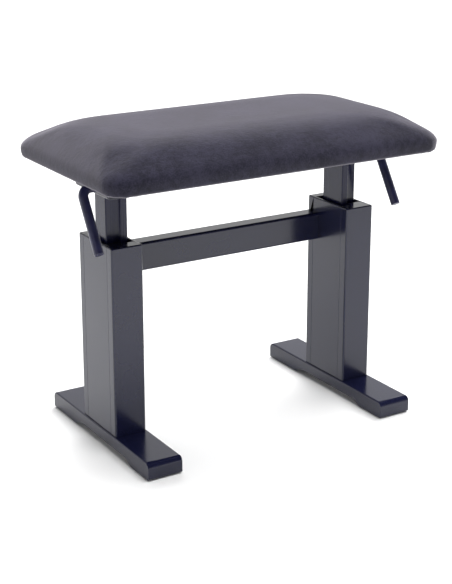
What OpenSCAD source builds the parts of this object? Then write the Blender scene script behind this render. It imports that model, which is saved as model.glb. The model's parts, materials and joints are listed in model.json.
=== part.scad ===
// Height-adjustable piano bench: a crowned velvet seat on two telescopic box columns.
// The origin is the middle of the bench on the floor. +X is to the player's right, +Y is
// to the back, where the stretcher sits, and +Z is up. The seat is at its lowest setting.

/* [Seat] */
// Length of the upholstered seat, left to right
seat_l = 556; // [520:1:620]
// Depth of the upholstered seat, front to back
seat_d = 316; // [310:1:360]
// Height of the seat's crown above its underside
seat_t = 57; // [50:1:75]
// Radius of the seat's corners in plan
seat_corner_r = 33; // [30:1:45]
// Height of the seat's underside above the floor, at the lowest setting
seat_low = 409; // [405:1:415]
// How far the seat rises
lift = 110; // [80:1:115]

/* [Legs] */
// Distance between the centres of the two columns
leg_spacing = 403.4; // [390:0.1:420]
// Width of a column, left to right
col_w = 49.4; // [48:0.1:54]
// Depth of a column, front to back
col_d = 103.4; // [100:0.1:112]
// Height of a column above its foot
col_h = 283; // [275:1:287]
// Width of a foot
foot_w = 54.4; // [54:0.1:60]
// Length of a foot, front to back
foot_l = 306.6; // [290:0.1:320]
// Height of a foot's top above the floor
foot_h = 26.6; // [24:0.1:30]
// Height of the arch under a foot
arch_h = 8; // [5:0.5:10]

/* [Stretcher] */
// Height of the stretcher's lower edge above the floor
stretcher_z = 243; // [200:1:250]
// Height of the stretcher
stretcher_h = 43.6; // [36:0.1:60]
// Thickness of the stretcher
stretcher_t = 28.8; // [26:0.1:34]

/* [Sliders and levers] */
// Thickness of a slider, left to right
slider_t = 30; // [29:0.1:31]
// Width of a slider's flange, front to back
slider_w = 51; // [48:0.1:54]
// Diameter of a lever's grip
grip_d = 14; // [13:0.1:16]
// Distance from a lever's pivot to its tip
lever_l = 96.6; // [80:0.1:100]
// Angle of a lever forward from straight down, at rest
lever_rake = 32; // [20:1:40]

/* [Hidden] */
$fn = 48;
eps = 0.01;

// Finishes
lacquer = [0.09, 0.09, 0.12];
satin_black = [0.13, 0.13, 0.2];
velvet = [0.17, 0.16, 0.2];
foam = [0.85, 0.8, 0.55];
birch = [0.75, 0.62, 0.42];
steel = [0.62, 0.62, 0.64];
nylon = [0.05, 0.05, 0.05];
cambric = [0.08, 0.08, 0.08];

// Clearances
slide_gap = 0.4;
loose_gap = 0.3;
fit_gap = 0.05;
hole_gap = 0.1;

// Columns
leg_x = leg_spacing / 2;
col_r = 3;
post_t = 15;
panel_t = 4;
cavity_x = col_w / 2 - panel_t;
cavity_y = col_d / 2 - post_t;
flange_slot_front = 32;
flange_slot_back = 36;
block_slot = 24;
slot_step_x = -3;
col_z = foot_h;
col_top = col_z + col_h;

// Feet
foot_end_r = 9;
foot_edge_r = 2.5;
glide_out = 1.5;
glide_in = 2;
glide_r = 11;
glide_front_y = -130;
glide_back_y = 120;
arch_front_y = -104;
arch_back_y = 77;
arch_run = 24;
arch_steps = 12;
column_screw_x = 12;
column_screw_y = 44;
column_screw_r = 2.5;
column_screw_l = 50;
column_screw_head_r = 5;
column_screw_head_h = 3.5;
column_screw_sink = 10;

// Sliders
flange_t = 11;
block_w = 34;
slider_bore_r = 12;
port_r = 2.1;
port_flange = [-9.5, 20.5];
port_block = [11.2, 13.2];
shoe_z = 36;
shoe_h = 14;
shoe_spigot = 12;
bush_h = 20;
bush_drop = 12;

// Head brackets, each a steel hat section
bracket_w = 56;
bracket_l = 100;
bracket_h = 30;
bracket_t = 3;
bracket_r = 5;
lip_w = 16;
bracket_top = seat_low + 0.5;
web_z = bracket_top - bracket_h;
web_top = web_z + bracket_t;
slider_screw_r = 2;
slider_screw_l = 18;
slider_screw_head_r = 3.8;
slider_screw_head_h = 2.8;

// Gas springs
rod_r = 5;
rod_thread_r = 4;
rod_top = web_top + 8;
rod_nut_h = 5.5;
rod_nut_af = 13;
cylinder_r = 11;
cylinder_bore_r = 9.8;
cylinder_z = 136;
cylinder_top = web_z - 13;
cylinder_floor = 4;
seal_h = 14;
piston_h = 12;
piston_top = cylinder_top - seal_h - lift - 20;
piston_stem_r = 3;
pin_r = 2.5;
pin_l = 40;
pin_out = 5.2;
pin_room = 6;
gas_plate_t = 3;
gas_plate = [40, 47];
gas_post_r = 9;
gas_stud_r = 5;
gas_stud_l = 16;
gas_stud_nut_h = 6;
gas_stud_nut_af = 16;
gas_post_top = cylinder_z - gas_stud_nut_h;
gas_screw_y = 17;
gas_screw_r = 2;
gas_screw_l = 14;
gas_screw_head_r = 4;
gas_screw_head_h = 2.5;

// Levers
pivot_y = -21;
pivot_z = web_z + 13.5;
axle_r = 5;
lever_x = 53.3;
bend_r = 14;
axle_inner_x = -33;
axle_bend_x = lever_x - bend_r;
grip_start_x = 32;
grip_cap = 4;
grip_chamfer = 1.2;
axle_bush_r = 6;
axle_bush_flange_r = 8;
axle_bush_flange_t = 1.5;
clip_x = -31.5;
clip_t = 1.2;
clip_r = 8;
cam_t = 8;
cam_hub_r = 9;
cam_arm_w = 4;
cam_nose_r = 3.5;
cam_nose = [-pivot_y, 6.5];
cam_pin_r = 1.5;

// Stretcher fittings
stretcher_front_y = col_d / 2 - stretcher_t;
stretcher_l = leg_spacing - col_w;
stretcher_mid_z = stretcher_z + stretcher_h / 2;
dowel_r = 4;
dowel_l = 26;
dowel_y = col_d / 2 - post_t / 2;
dowel_rise = 11;
bolt_r = 3;
bolt_l = 34;
bolt_head_r = 5.5;
bolt_head_h = 2.5;
bolt_y = 29;

// Seat
cover_t = 1.5;
belly = 0.35;
under_in = 3;
crown_in = 96;
crown_corner_r = 50;
crown_levels = [0, 0.12, 0.35, 0.5, 0.62, 0.73, 0.82, 0.9, 0.96, 1];
level_t = 0.05;
board_in = 6;
board_t = 12;
board_z = seat_low + cover_t;
board_top = board_z + board_t;
hem_w = 30;
dust_t = 1;
seat_screw_x = bracket_w / 2 + lip_w / 2;
seat_screw_y = 38;
seat_screw_r = 3;
seat_screw_top = board_top - 2;
seat_screw_head_r = 5.5;
seat_screw_head_h = 3;
tee_barrel_r = 4;
tee_barrel_l = 9;
tee_flange_r = 9;
tee_flange_t = 1.4;
staple_w = 10;
staple_t = 1.2;
staple_out = 0.6;
staple_leg = 7;
staple_in = 14;
staple_pitch = 40;

// A leg's own frame: x points away from the middle of the bench
module at_leg(side) {
    translate([side * leg_x, 0, 0])
        mirror([side < 0 ? 1 : 0, 0, 0])
            children();
}

module both_legs() {
    for (side = [-1, 1])
        at_leg(side)
            children();
}

module rounded_rect(w, d, r) {
    square([w - 2 * r, d], center = true);
    square([w, d - 2 * r], center = true);
    for (x = [-1, 1], y = [-1, 1])
        translate([x * (w / 2 - r), y * (d / 2 - r)])
            circle(r);
}

module hex_nut(af, h, hole_r) {
    difference() {
        cylinder(r = af / sqrt(3), h = h, $fn = 6);
        translate([0, 0, -eps])
            cylinder(r = hole_r, h = h + 2 * eps);
    }
}

// A screw along +Z with its head under z = 0
module screw(r, l, head_r, head_h) {
    cylinder(r = r, h = l);
    translate([0, 0, -head_h])
        cylinder(r = head_r, h = head_h);
}

// ---- Feet ----

// A side view of a foot, y along its length from the middle
module foot_side() {
    h = foot_h - glide_out;
    mid = foot_l / 2;
    square_l = foot_l - 2 * foot_end_r;
    translate([-square_l / 2, 0])
        square([square_l, h]);
    translate([-mid, foot_edge_r])
        square([foot_l, h - foot_end_r - foot_edge_r]);
    translate([-mid + foot_edge_r, 0])
        square([foot_l - 2 * foot_edge_r, h - foot_end_r]);
    for (end = [-1, 1]) {
        translate([end * (mid - foot_end_r), h - foot_end_r])
            circle(foot_end_r);
        translate([end * (mid - foot_edge_r), foot_edge_r])
            circle(foot_edge_r);
    }
}

function arch_ramp(y, dir) = [
    for (i = [0:arch_steps])
        [y + dir * arch_run * i / arch_steps, arch_h * (1 - cos(180 * i / arch_steps)) / 2]
];

function backwards(list) = [for (i = [len(list) - 1:-1:0]) list[i]];

module foot_arch() {
    polygon(concat(arch_ramp(arch_front_y, 1), backwards(arch_ramp(arch_back_y, -1)),
        [[arch_back_y, -1], [arch_front_y, -1]]));
}

module foot_section() {
    h = foot_h - glide_out;
    translate([-foot_w / 2, 0])
        square([foot_w, h - foot_edge_r]);
    translate([-foot_w / 2 + foot_edge_r, 0])
        square([foot_w - 2 * foot_edge_r, h]);
    for (side = [-1, 1])
        translate([side * (foot_w / 2 - foot_edge_r), h - foot_edge_r])
            circle(foot_edge_r);
}

module column_screw_places() {
    for (x = [-1, 1], y = [-1, 1])
        translate([x * column_screw_x, y * column_screw_y, glide_out + column_screw_sink])
            children();
}

module gas_screw_places() {
    for (y = [-1, 1])
        translate([0, y * gas_screw_y, col_z + gas_plate_t])
            mirror([0, 0, 1])
                children();
}

module foot() {
    color(lacquer)
        difference() {
            translate([0, 0, glide_out])
                intersection() {
                    rotate([90, 0, 90])
                        linear_extrude(foot_w, center = true)
                            difference() {
                                foot_side();
                                foot_arch();
                            }
                    rotate([90, 0, 0])
                        linear_extrude(foot_l, center = true)
                            foot_section();
                }
            for (y = [glide_front_y, glide_back_y])
                translate([0, y, glide_out - eps])
                    cylinder(r = glide_r + hole_gap, h = glide_in + eps);
            column_screw_places() {
                translate([0, 0, -column_screw_sink - eps])
                    cylinder(r = column_screw_head_r + 0.5, h = column_screw_sink + eps);
                cylinder(r = column_screw_r + hole_gap, h = foot_h);
            }
            gas_screw_places()
                translate([0, 0, gas_plate_t - eps])
                    cylinder(r = gas_screw_r + hole_gap, h = gas_screw_l);
        }
}

module foot_glides() {
    color(nylon)
        both_legs()
            for (y = [glide_front_y, glide_back_y])
                translate([0, y, 0])
                    cylinder(r = glide_r, h = glide_out + glide_in);
}

module column_screws() {
    color(steel)
        both_legs()
            column_screw_places()
                screw(column_screw_r, column_screw_l, column_screw_head_r, column_screw_head_h);
}

// ---- Columns ----

// The T-shaped shaft inside a column, wide on the inner side for the slider's flange
module shaft_outline(gap) {
    translate([-cavity_x + gap, -flange_slot_front + gap])
        square([slot_step_x + cavity_x - 2 * gap, flange_slot_front + flange_slot_back - 2 * gap]);
    translate([-cavity_x + gap, -block_slot + gap])
        square([2 * (cavity_x - gap), 2 * (block_slot - gap)]);
}

// A full-width board with a guide step behind it, in front (end = -1) or at the back (end = 1)
module post(end) {
    color(lacquer)
        difference() {
            translate([0, 0, col_z])
                linear_extrude(col_h)
                    difference() {
                        union() {
                            intersection() {
                                rounded_rect(col_w, col_d, col_r);
                                translate([0, end * (col_d - post_t) / 2])
                                    square([col_w, post_t], center = true);
                            }
                            translate([0, end * cavity_y / 2])
                                square([2 * cavity_x, cavity_y], center = true);
                        }
                        shaft_outline(0);
                    }
            column_screw_places()
                cylinder(r = column_screw_r + hole_gap, h = column_screw_l + 2);
        }
}

module front_post() {
    post(-1);
}

module back_post() {
    difference() {
        post(1);
        stretcher_dowel_places()
            cylinder(r = dowel_r + hole_gap, h = dowel_l / 2 + 1);
    }
}

module outer_panel() {
    color(lacquer)
        translate([cavity_x, -cavity_y, col_z])
            cube([panel_t, 2 * cavity_y, col_h]);
}

module inner_panel() {
    color(lacquer)
        difference() {
            translate([-cavity_x - panel_t, -cavity_y, col_z])
                cube([panel_t, 2 * cavity_y, col_h]);
            stretcher_bolt_place()
                translate([0, 0, -eps])
                    cylinder(r = bolt_r + hole_gap, h = panel_t + 2 * eps);
        }
}

module guide_bush() {
    color(nylon)
        translate([0, 0, col_top - bush_drop - bush_h])
            linear_extrude(bush_h)
                difference() {
                    shaft_outline(hole_gap);
                    slider_outline(slide_gap);
                }
}

// ---- Stretcher ----

// From the column's inner face into the column, at each dowel
module stretcher_dowel_places() {
    for (z = [-1, 1])
        translate([-col_w / 2, dowel_y, stretcher_mid_z + z * dowel_rise])
            rotate([0, 90, 0])
                children();
}

// From the shaft's inner wall out into the stretcher
module stretcher_bolt_place() {
    translate([-cavity_x, bolt_y, stretcher_mid_z])
        rotate([0, -90, 0])
            children();
}

module stretcher() {
    color(lacquer)
        difference() {
            translate([-stretcher_l / 2, stretcher_front_y, stretcher_z])
                cube([stretcher_l, stretcher_t, stretcher_h]);
            both_legs() {
                stretcher_dowel_places()
                    translate([0, 0, -dowel_l / 2 - 1])
                        cylinder(r = dowel_r + hole_gap, h = dowel_l / 2 + 1 + eps);
                stretcher_bolt_place()
                    cylinder(r = bolt_r + hole_gap, h = bolt_l + 1);
            }
        }
}

module stretcher_dowels() {
    color(birch)
        both_legs()
            stretcher_dowel_places()
                translate([0, 0, -dowel_l / 2])
                    cylinder(r = dowel_r, h = dowel_l);
}

module stretcher_bolts() {
    color(steel)
        both_legs()
            stretcher_bolt_place()
                screw(bolt_r, bolt_l, bolt_head_r, bolt_head_h);
}

// ---- Gas springs ----

module gas_base() {
    color(steel)
        difference() {
            union() {
                translate([-gas_plate[0] / 2, -gas_plate[1] / 2, col_z])
                    cube([gas_plate[0], gas_plate[1], gas_plate_t]);
                translate([0, 0, col_z])
                    cylinder(r = gas_post_r, h = gas_post_top - col_z);
            }
            translate([0, 0, cylinder_z - gas_stud_l - 1])
                cylinder(r = gas_stud_r + fit_gap, h = gas_stud_l);
            gas_screw_places()
                translate([0, 0, -eps])
                    cylinder(r = gas_screw_r + hole_gap, h = gas_plate_t + 2 * eps);
        }
}

module gas_base_screws() {
    color(steel)
        both_legs()
            gas_screw_places()
                screw(gas_screw_r, gas_screw_l, gas_screw_head_r, gas_screw_head_h);
}

module cylinder_nuts() {
    color(steel)
        both_legs()
            translate([0, 0, gas_post_top])
                hex_nut(gas_stud_nut_af, gas_stud_nut_h, gas_stud_r + fit_gap);
}

module gas_cylinder() {
    color(satin_black)
        difference() {
            union() {
                translate([0, 0, cylinder_z])
                    cylinder(r = cylinder_r, h = cylinder_top - cylinder_z);
                translate([0, 0, cylinder_z - gas_stud_l])
                    cylinder(r = gas_stud_r, h = gas_stud_l + eps);
            }
            translate([0, 0, cylinder_z + cylinder_floor])
                cylinder(r = cylinder_bore_r, h = cylinder_top - cylinder_z);
        }
}

module rod_seal() {
    color(nylon)
        translate([0, 0, cylinder_top - seal_h])
            difference() {
                cylinder(r = cylinder_bore_r - fit_gap, h = seal_h);
                translate([0, 0, -eps])
                    cylinder(r = rod_r + fit_gap, h = seal_h + 2 * eps);
            }
}

module gas_rod() {
    color(steel)
        difference() {
            union() {
                translate([0, 0, piston_top])
                    cylinder(r = rod_r, h = web_z - piston_top);
                translate([0, 0, piston_top - piston_h - 2])
                    cylinder(r = piston_stem_r, h = piston_h + 2 + eps);
                translate([0, 0, web_z - eps])
                    cylinder(r = rod_thread_r, h = rod_top - web_z);
            }
            translate([0, 0, rod_top + pin_out - pin_l - pin_room])
                cylinder(r = pin_r + fit_gap, h = pin_l + pin_room);
        }
}

module piston() {
    color(nylon)
        translate([0, 0, piston_top - piston_h])
            difference() {
                cylinder(r = cylinder_bore_r - fit_gap, h = piston_h);
                translate([0, 0, -eps])
                    cylinder(r = piston_stem_r + fit_gap, h = piston_h + 2 * eps);
            }
}

module valve_pin() {
    color(steel)
        translate([0, 0, rod_top + pin_out - pin_l])
            cylinder(r = pin_r, h = pin_l);
}

module rod_nuts() {
    color(steel)
        both_legs()
            translate([0, 0, web_top])
                hex_nut(rod_nut_af, rod_nut_h, rod_thread_r + fit_gap);
}

// ---- Sliders ----

// A slider's outline, grown by a gap: a flange on the inner side and a block on the outer
module slider_outline(gap) {
    r = 2;
    translate([-slider_t / 2 + flange_t / 2, 0])
        rounded_rect(flange_t + 2 * gap, slider_w + 2 * gap, r + gap);
    translate([flange_t / 4, 0])
        rounded_rect(slider_t - flange_t / 2 + 2 * gap, block_w + 2 * gap, r + gap);
}

module port_places() {
    for (port = [port_flange, port_block], y = [-1, 1])
        translate([port[0], y * port[1]])
            children();
}

module slider() {
    color(satin_black)
        translate([0, 0, shoe_z + shoe_h])
            linear_extrude(web_z - shoe_z - shoe_h)
                difference() {
                    slider_outline(0);
                    circle(slider_bore_r);
                    port_places()
                        circle(port_r);
                }
}

module slider_shoe() {
    color(nylon)
        translate([0, 0, shoe_z]) {
            linear_extrude(shoe_h)
                difference() {
                    shaft_outline(slide_gap);
                    circle(slider_bore_r);
                }
            port_places()
                translate([0, 0, shoe_h - eps])
                    cylinder(r = port_r - hole_gap, h = shoe_spigot);
        }
}

// ---- Head brackets ----

module hat_section() {
    inner_w = bracket_w - 2 * bracket_t;
    translate([0, -bracket_h])
        difference() {
            union() {
                translate([-bracket_w / 2, bracket_r])
                    square([bracket_w, bracket_h - bracket_r]);
                translate([-bracket_w / 2 + bracket_r, 0])
                    square([bracket_w - 2 * bracket_r, bracket_h]);
                for (x = [-1, 1]) {
                    translate([x * (bracket_w / 2 - bracket_r), bracket_r])
                        circle(bracket_r);
                    translate([x * (bracket_w / 2 + lip_w / 2 - 1), bracket_h - bracket_t / 2])
                        square([lip_w + 2, bracket_t], center = true);
                }
            }
            translate([-inner_w / 2, bracket_r])
                square([inner_w, bracket_h]);
            translate([-inner_w / 2 + bracket_r - bracket_t, bracket_t])
                square([inner_w - 2 * (bracket_r - bracket_t), bracket_h]);
            for (x = [-1, 1])
                translate([x * (inner_w / 2 - bracket_r + bracket_t), bracket_r])
                    circle(bracket_r - bracket_t);
        }
}

module seat_screw_places() {
    for (x = [-1, 1], y = [-1, 1])
        translate([x * seat_screw_x, y * seat_screw_y, 0])
            children();
}

module head_bracket() {
    color(satin_black)
        difference() {
            translate([0, 0, bracket_top])
                rotate([90, 0, 0])
                    linear_extrude(bracket_l, center = true)
                        hat_section();
            translate([0, 0, web_z - eps])
                cylinder(r = rod_thread_r + hole_gap, h = bracket_t + 2 * eps);
            translate([0, 0, web_z - eps])
                port_places()
                    cylinder(r = slider_screw_r + hole_gap, h = bracket_t + 2 * eps);
            seat_screw_places()
                translate([0, 0, bracket_top - bracket_t - eps])
                    cylinder(r = seat_screw_r + hole_gap, h = bracket_t + 2 * eps);
            translate([-bracket_w, pivot_y, pivot_z])
                rotate([0, 90, 0])
                    cylinder(r = axle_bush_r + fit_gap, h = 2 * bracket_w);
        }
}

module slider_screws() {
    color(steel)
        both_legs()
            translate([0, 0, web_top])
                port_places()
                    mirror([0, 0, 1])
                        screw(slider_screw_r, slider_screw_l, slider_screw_head_r, slider_screw_head_h);
}

module axle_bush() {
    difference() {
        union() {
            cylinder(r = axle_bush_r, h = bracket_t);
            translate([0, 0, bracket_t])
                cylinder(r = axle_bush_flange_r, h = axle_bush_flange_t);
        }
        translate([0, 0, -eps])
            cylinder(r = axle_r + fit_gap, h = bracket_t + axle_bush_flange_t + 2 * eps);
    }
}

module axle_bushes() {
    color(nylon)
        both_legs()
            for (end = [-1, 1])
                translate([end * (bracket_w / 2 - bracket_t), pivot_y, pivot_z])
                    rotate([0, end * 90, 0])
                        axle_bush();
}

// ---- Levers ----

module at_pivot() {
    translate([0, pivot_y, pivot_z])
        children();
}

// A lever's own frame: x along the axle, the pivot at 0, the arm hanging down -Z
module at_lever() {
    at_pivot()
        rotate([-lever_rake, 0, 0])
            children();
}

// A round bar along the axle, round the bend and down the arm
module bent_bar(r, start_x, arm_end) {
    translate([start_x, 0, 0])
        rotate([0, 90, 0])
            cylinder(r = r, h = axle_bend_x - start_x);
    translate([axle_bend_x, 0, -bend_r])
        rotate([90, 0, 0])
            rotate_extrude(angle = 90)
                translate([bend_r, 0])
                    circle(r);
    translate([lever_x, 0, -arm_end])
        cylinder(r = r, h = arm_end - bend_r);
}

module lever_rod() {
    color(steel)
        difference() {
            at_lever()
                bent_bar(axle_r, axle_inner_x, lever_l - grip_cap);
            at_pivot()
                cylinder(r = cam_pin_r + fit_gap, h = 4 * axle_r, center = true);
        }
}

module lever_grip() {
    color(satin_black)
        at_lever()
            difference() {
                union() {
                    bent_bar(grip_d / 2, grip_start_x, lever_l - grip_chamfer);
                    translate([lever_x, 0, -lever_l])
                        cylinder(r1 = grip_d / 2 - grip_chamfer, r2 = grip_d / 2, h = grip_chamfer + eps);
                }
                bent_bar(axle_r + fit_gap, grip_start_x - 1, lever_l - grip_cap);
            }
}

module release_cam() {
    nose_a = atan2(cam_nose[1], cam_nose[0]);
    nose_l = norm(cam_nose);
    color(steel)
        at_pivot()
            difference() {
                rotate([90, 0, 90])
                    linear_extrude(cam_t, center = true)
                        difference() {
                            union() {
                                circle(cam_hub_r);
                                translate(cam_nose)
                                    circle(cam_nose_r);
                                rotate(nose_a)
                                    translate([0, -cam_arm_w / 2])
                                        square([nose_l, cam_arm_w]);
                            }
                            circle(axle_r + fit_gap);
                        }
                cylinder(r = cam_pin_r + fit_gap, h = 4 * cam_hub_r, center = true);
            }
}

module cam_pin() {
    color(steel)
        at_pivot()
            cylinder(r = cam_pin_r, h = 2 * cam_hub_r - 1, center = true);
}

module axle_clip() {
    color(steel)
        translate([clip_x - clip_t / 2, pivot_y, pivot_z])
            rotate([0, 90, 0])
                difference() {
                    cylinder(r = clip_r, h = clip_t);
                    translate([0, 0, -eps])
                        cylinder(r = axle_r + fit_gap, h = clip_t + 2 * eps);
                }
}

// ---- Seat ----

// How far the seat's side is inside its widest outline, at a share of its height
function side_in(share) = share < belly
    ? under_in * pow(1 - share / belly, 2)
    : crown_in * (1 - pow(1 - pow((share - belly) / (1 - belly), 1.5), 0.45));

// How much larger the corner's radius in plan is there than at the widest outline
function corner_growth(share) = share < belly
    ? -side_in(share)
    : crown_corner_r * (share - belly);

// The crowned seat, shrunk all round by a wall
module cushion_form(wall) {
    h = seat_t - 2 * wall;
    hull()
        for (share = crown_levels, x = [-1, 1], y = [-1, 1]) {
            inset = wall + side_in(share);
            r = seat_corner_r - wall + corner_growth(share);
            translate([x * (seat_l / 2 - inset - r), y * (seat_d / 2 - inset - r),
                    seat_low + wall + share * (h - level_t)])
                cylinder(r = r, h = level_t, $fn = 32);
        }
}

module seat_plate(inset, z, t) {
    translate([0, 0, z])
        linear_extrude(t)
            rounded_rect(seat_l - 2 * inset, seat_d - 2 * inset, max(seat_corner_r - inset, 3));
}

module seat_board() {
    color(birch)
        difference() {
            seat_plate(board_in, board_z, board_t);
            both_legs()
                seat_screw_places() {
                    translate([0, 0, board_z - eps])
                        cylinder(r = tee_barrel_r + hole_gap, h = board_t + 2 * eps);
                    translate([0, 0, board_top - tee_flange_t])
                        cylinder(r = tee_flange_r + hole_gap, h = tee_flange_t + eps);
                }
        }
}

module seat_foam() {
    color(foam)
        difference() {
            cushion_form(cover_t + loose_gap);
            translate([-seat_l, -seat_d, seat_low - 1])
                cube([2 * seat_l, 2 * seat_d, board_top - seat_low + 1]);
        }
}

module seat_cover() {
    color(velvet)
        difference() {
            cushion_form(0);
            cushion_form(cover_t);
            seat_plate(hem_w, seat_low - 1, cover_t + 2);
        }
}

module dust_cover() {
    color(cambric)
        difference() {
            seat_plate(hem_w + loose_gap, board_z - dust_t, dust_t);
            both_legs()
                seat_screw_places()
                    translate([0, 0, board_z - dust_t - eps])
                        cylinder(r = seat_screw_r + loose_gap, h = dust_t + 2 * eps);
        }
}

module staple() {
    translate([-staple_w / 2, -staple_t / 2, -staple_out])
        cube([staple_w, staple_t, staple_out]);
    for (x = [-1, 1])
        translate([x * (staple_w - staple_out) / 2 - staple_out / 2, -staple_t / 2, -eps])
            cube([staple_out, staple_t, staple_leg]);
}

module cover_staples() {
    along_x = floor((seat_l / 2 - 2 * seat_corner_r) / staple_pitch);
    along_y = floor((seat_d / 2 - 2 * seat_corner_r) / staple_pitch);
    color(steel)
        for (edge = [-1, 1]) {
            for (i = [-along_x:along_x])
                translate([i * staple_pitch, edge * (seat_d / 2 - staple_in), seat_low])
                    staple();
            for (i = [-along_y:along_y])
                translate([edge * (seat_l / 2 - staple_in), i * staple_pitch, seat_low])
                    rotate([0, 0, 90])
                        staple();
        }
}

module seat_screws() {
    color(steel)
        both_legs()
            seat_screw_places()
                translate([0, 0, bracket_top - bracket_t])
                    screw(seat_screw_r, seat_screw_top - bracket_top + bracket_t,
                        seat_screw_head_r, seat_screw_head_h);
}

module tee_nuts() {
    color(steel)
        both_legs()
            seat_screw_places()
                difference() {
                    union() {
                        translate([0, 0, board_top - tee_flange_t])
                            cylinder(r = tee_flange_r, h = tee_flange_t);
                        translate([0, 0, board_top - tee_barrel_l])
                            cylinder(r = tee_barrel_r, h = tee_barrel_l);
                    }
                    translate([0, 0, board_top - tee_barrel_l - eps])
                        cylinder(r = seat_screw_r + fit_gap, h = tee_barrel_l + 2 * eps);
                }
}

at_leg(-1) foot();  // left_foot
at_leg(1) foot();  // right_foot
foot_glides();
column_screws();
at_leg(-1) front_post();  // left_front_post
at_leg(-1) back_post();  // left_back_post
at_leg(-1) outer_panel();  // left_outer_panel
at_leg(-1) inner_panel();  // left_inner_panel
at_leg(1) front_post();  // right_front_post
at_leg(1) back_post();  // right_back_post
at_leg(1) outer_panel();  // right_outer_panel
at_leg(1) inner_panel();  // right_inner_panel
at_leg(-1) guide_bush();  // left_guide_bush
at_leg(1) guide_bush();  // right_guide_bush
stretcher();
stretcher_dowels();
stretcher_bolts();
at_leg(-1) gas_base();  // left_gas_base
at_leg(1) gas_base();  // right_gas_base
gas_base_screws();
cylinder_nuts();
at_leg(-1) gas_cylinder();  // left_gas_cylinder
at_leg(1) gas_cylinder();  // right_gas_cylinder
at_leg(-1) rod_seal();  // left_rod_seal
at_leg(1) rod_seal();  // right_rod_seal
at_leg(-1) slider();  // left_slider
at_leg(1) slider();  // right_slider
at_leg(-1) slider_shoe();  // left_slider_shoe
at_leg(1) slider_shoe();  // right_slider_shoe
at_leg(-1) gas_rod();  // left_gas_rod
at_leg(1) gas_rod();  // right_gas_rod
at_leg(-1) piston();  // left_piston
at_leg(1) piston();  // right_piston
at_leg(-1) valve_pin();  // left_valve_pin
at_leg(1) valve_pin();  // right_valve_pin
rod_nuts();
at_leg(-1) head_bracket();  // left_head_bracket
at_leg(1) head_bracket();  // right_head_bracket
slider_screws();
axle_bushes();
at_leg(-1) lever_rod();  // left_lever_rod
at_leg(1) lever_rod();  // right_lever_rod
at_leg(-1) lever_grip();  // left_lever_grip
at_leg(1) lever_grip();  // right_lever_grip
at_leg(-1) release_cam();  // left_release_cam
at_leg(1) release_cam();  // right_release_cam
at_leg(-1) cam_pin();  // left_cam_pin
at_leg(1) cam_pin();  // right_cam_pin
at_leg(-1) axle_clip();  // left_axle_clip
at_leg(1) axle_clip();  // right_axle_clip
seat_board();
seat_foam();
seat_cover();
dust_cover();
cover_staples();
seat_screws();
tee_nuts();
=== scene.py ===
"""Height-adjustable piano bench: lacquered box columns, gas spring sliders and a velvet seat.

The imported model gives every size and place. This script eases the edges of the lacquered
boards, upholsters the crowned seat, bends the release levers, fits detailed screws, gives every
piece its finish and sets the bench on a plain studio floor.
"""

import json
import logging
import math
from collections.abc import Callable, Iterable
from dataclasses import dataclass, field
from enum import Enum

import bmesh
import bpy
from mathutils import Matrix, Vector, noise


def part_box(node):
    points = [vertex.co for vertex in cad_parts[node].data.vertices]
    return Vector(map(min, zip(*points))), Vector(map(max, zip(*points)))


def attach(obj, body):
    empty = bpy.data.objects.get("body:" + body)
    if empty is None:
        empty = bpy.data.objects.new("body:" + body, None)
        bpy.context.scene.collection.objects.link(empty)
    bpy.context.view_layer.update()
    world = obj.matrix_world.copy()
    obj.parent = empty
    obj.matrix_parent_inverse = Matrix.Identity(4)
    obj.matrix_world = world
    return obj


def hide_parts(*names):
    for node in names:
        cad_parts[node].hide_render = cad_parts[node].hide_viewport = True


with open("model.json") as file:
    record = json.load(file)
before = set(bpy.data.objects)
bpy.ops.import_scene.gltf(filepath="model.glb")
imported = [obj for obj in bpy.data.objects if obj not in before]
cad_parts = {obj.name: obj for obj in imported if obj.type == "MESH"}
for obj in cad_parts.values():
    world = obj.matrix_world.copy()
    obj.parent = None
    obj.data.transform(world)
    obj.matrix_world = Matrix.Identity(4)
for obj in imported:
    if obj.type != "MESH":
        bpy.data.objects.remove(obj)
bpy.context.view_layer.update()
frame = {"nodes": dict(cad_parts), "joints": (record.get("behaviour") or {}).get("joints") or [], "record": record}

MM = 0.001
MERGED_MM = 0.003
FLAT = math.radians(1)
SHARP = math.radians(35)
USUAL_GRAIN = (0.3, 0.7)
# Sockets of a Mix node that mixes colours.
MIX_A, MIX_B, MIX_RESULT = 6, 7, 2
log = logging.getLogger("piano_bench")


class Body(Enum):
    """The bodies that the bench's pieces ride on."""

    BASE = "base"
    SEAT = "seat"
    LEFT_LEVER = "left_lever"
    RIGHT_LEVER = "right_lever"


class Side(Enum):
    """The two legs, as the sign of their place along X."""

    LEFT = -1
    RIGHT = 1

    @property
    def word(self) -> str:
        """The side's name at the start of its nodes' names."""
        return self.name.lower()


# ---- Colours and nodes ----


def linear(code: str) -> tuple[float, float, float, float]:
    """Turns an sRGB hex colour into linear light.

    Args:
        code: Colour such as "#1A2B3C".

    Returns:
        Red, green, blue and an alpha of 1.
    """
    channels = [int(code[i : i + 2], 16) / 255 for i in (1, 3, 5)]
    light = [c / 12.92 if c <= 0.04045 else ((c + 0.055) / 1.055) ** 2.4 for c in channels]
    return light[0], light[1], light[2], 1.0


def add_node(
    tree: bpy.types.NodeTree,
    kind: str,
    settings: dict[str, object] | None = None,
    inputs: dict[str | int, object] | None = None,
) -> bpy.types.Node:
    """Adds one node with its settings, values and links.

    Args:
        tree: Node tree of a material or of the world.
        kind: The node type's identifier.
        settings: Properties of the node by name.
        inputs: Values by socket name or number. An output socket is linked instead.

    Returns:
        The new node.
    """
    node = tree.nodes.new(kind)
    for name, value in (settings or {}).items():
        setattr(node, name, value)
    for key, value in (inputs or {}).items():
        if isinstance(value, bpy.types.NodeSocket):
            tree.links.new(value, node.inputs[key])
        else:
            node.inputs[key].default_value = value
    return node


# ---- Finishes ----


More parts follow.
